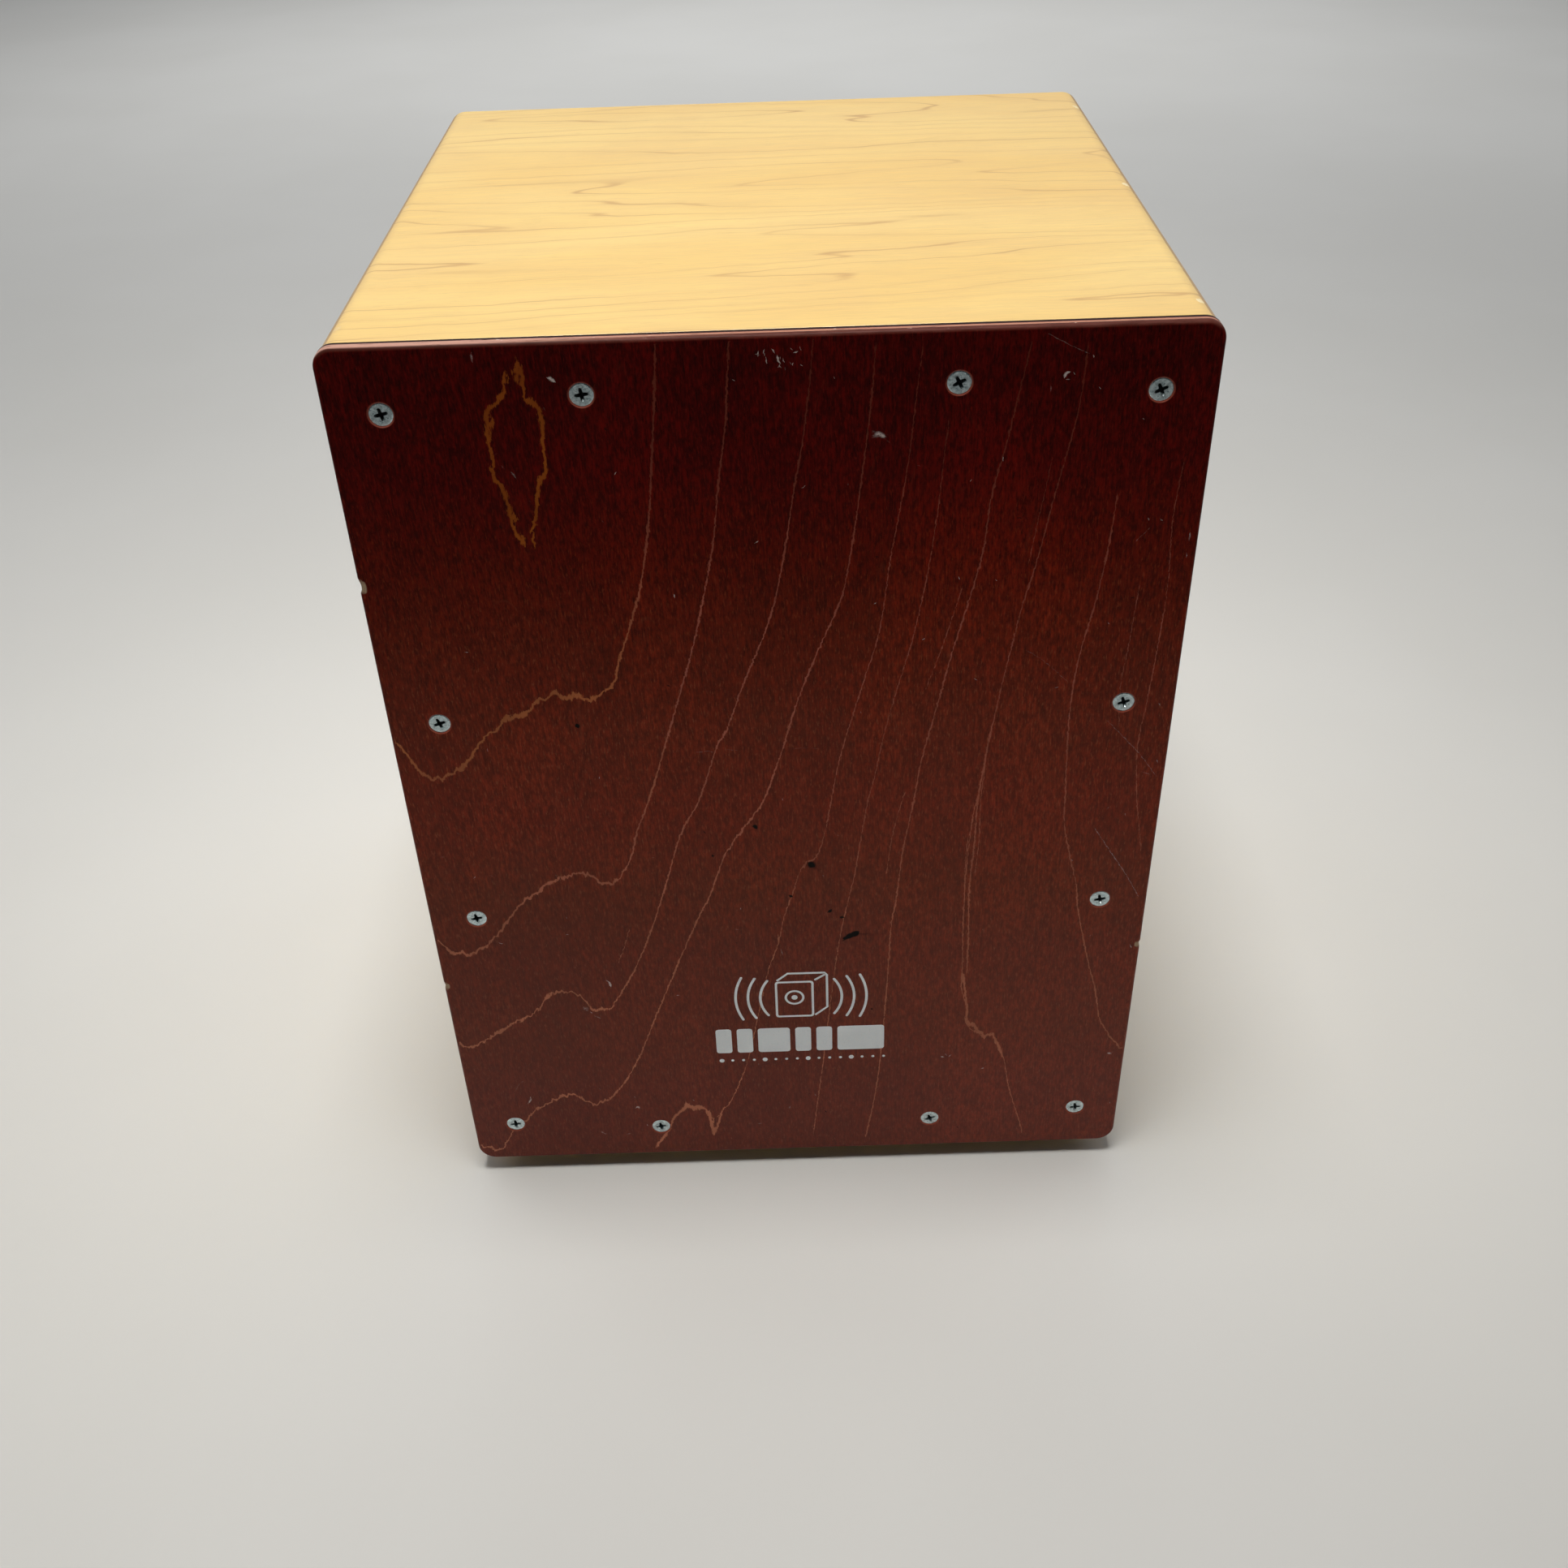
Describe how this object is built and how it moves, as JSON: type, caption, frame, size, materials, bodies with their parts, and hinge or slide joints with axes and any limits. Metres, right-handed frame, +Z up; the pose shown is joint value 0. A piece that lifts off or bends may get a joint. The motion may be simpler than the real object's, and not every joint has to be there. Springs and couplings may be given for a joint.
{
  "type": "cajon",
  "caption": "Child-size wooden box drum with a screwed-on dark playing plate, pale lacquered walls, ported back, fixed snare wires and rubber feet.",
  "frame": {"origin": "on the floor under the middle of the drum: the bottom centre of its box, level with the underside of the feet", "axes": "+Z up, -Y towards the player's side where the playing plate is, +X to the right of a person looking at the playing plate"},
  "size_m": [0.222, 0.222, 0.301],
  "materials": {
    "lacquered_birch": "clear satin lacquer",
    "stained_plywood": "dark red-brown stain under satin lacquer",
    "raw_pine": "sawn, unfinished",
    "wood_filler": "sanded filler under lacquer",
    "zinc_steel": "bright zinc plated",
    "snare_steel": "plain steel wire",
    "brass_plate": "plain",
    "black_rubber": "matt"
  },
  "bodies": {
    "root": {"top_panel": "lacquered_birch", "bottom_panel": "lacquered_birch", "left_side_panel": "lacquered_birch", "right_side_panel": "lacquered_birch", "front_plate": "stained_plywood", "back_panel": "lacquered_birch", "front_batten_top": "raw_pine", "front_batten_bottom": "raw_pine", "front_batten_left": "raw_pine", "front_batten_right": "raw_pine", "rear_batten_top": "raw_pine", "rear_batten_bottom": "raw_pine", "rear_batten_left": "raw_pine", "rear_batten_right": "raw_pine", "front_plate_screws": "zinc_steel", "back_panel_screws": "zinc_steel", "panel_brads": "zinc_steel", "filler_plugs": "wood_filler", "snare_bar": "raw_pine", "snare_plate_left": "brass_plate", "snare_plate_right": "brass_plate", "snare_wires_left": "snare_steel", "snare_wires_right": "snare_steel", "snare_plate_screws": "zinc_steel", "foot_front_left": "black_rubber", "foot_front_right": "black_rubber", "foot_rear_left": "black_rubber", "foot_rear_right": "black_rubber", "foot_washers": "zinc_steel", "foot_screws": "zinc_steel"}
  },
  "joints": []
}
